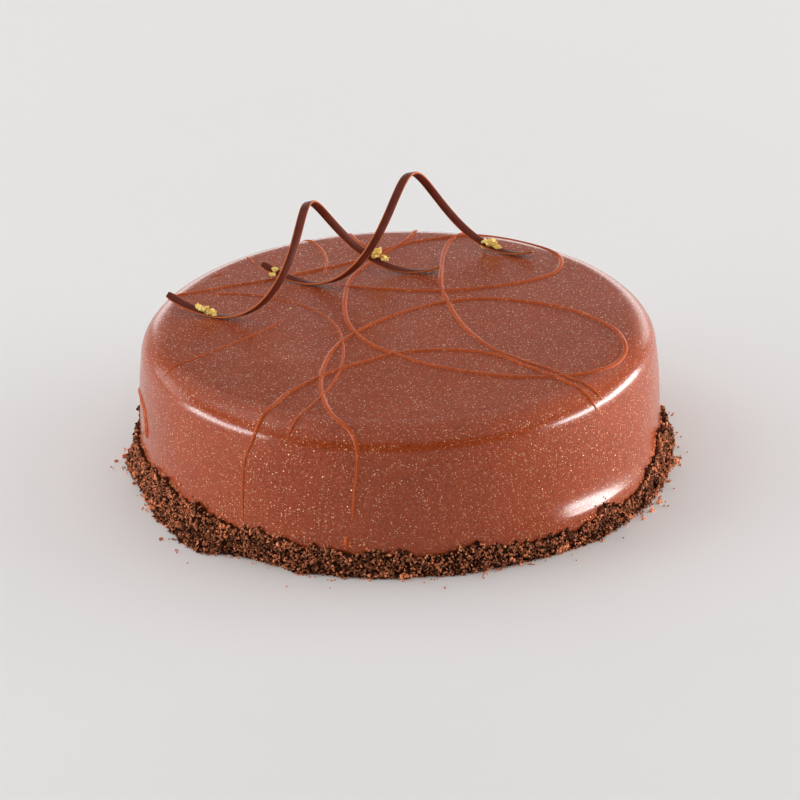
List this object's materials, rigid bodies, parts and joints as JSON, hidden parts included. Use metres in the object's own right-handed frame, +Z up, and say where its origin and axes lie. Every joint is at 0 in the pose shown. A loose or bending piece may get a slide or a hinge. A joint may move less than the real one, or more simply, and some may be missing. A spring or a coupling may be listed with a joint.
{
  "type": "dark chocolate cake",
  "caption": "Round glazed chocolate cake with raised drizzled threads, a border of cake crumbs round its foot and chocolate ribbon curls with gold leaf on top.",
  "frame": {"origin": "middle of the flat underside of the cake", "axes": "+Z up out of the top, -Y towards the front that is seen"},
  "size_m": [0.196, 0.19, 0.0898],
  "materials": {
    "glaze": "shiny dark chocolate glaze with fine bronze shimmer",
    "crumb": "dry dark chocolate cake crumbs",
    "ribbon": "satin tempered chocolate, with scraps of gold leaf"
  },
  "bodies": {
    "root": {"cake_body": "glaze", "crumb_border": "crumb", "curl_left": "ribbon", "curl_right": "ribbon"}
  },
  "joints": []
}
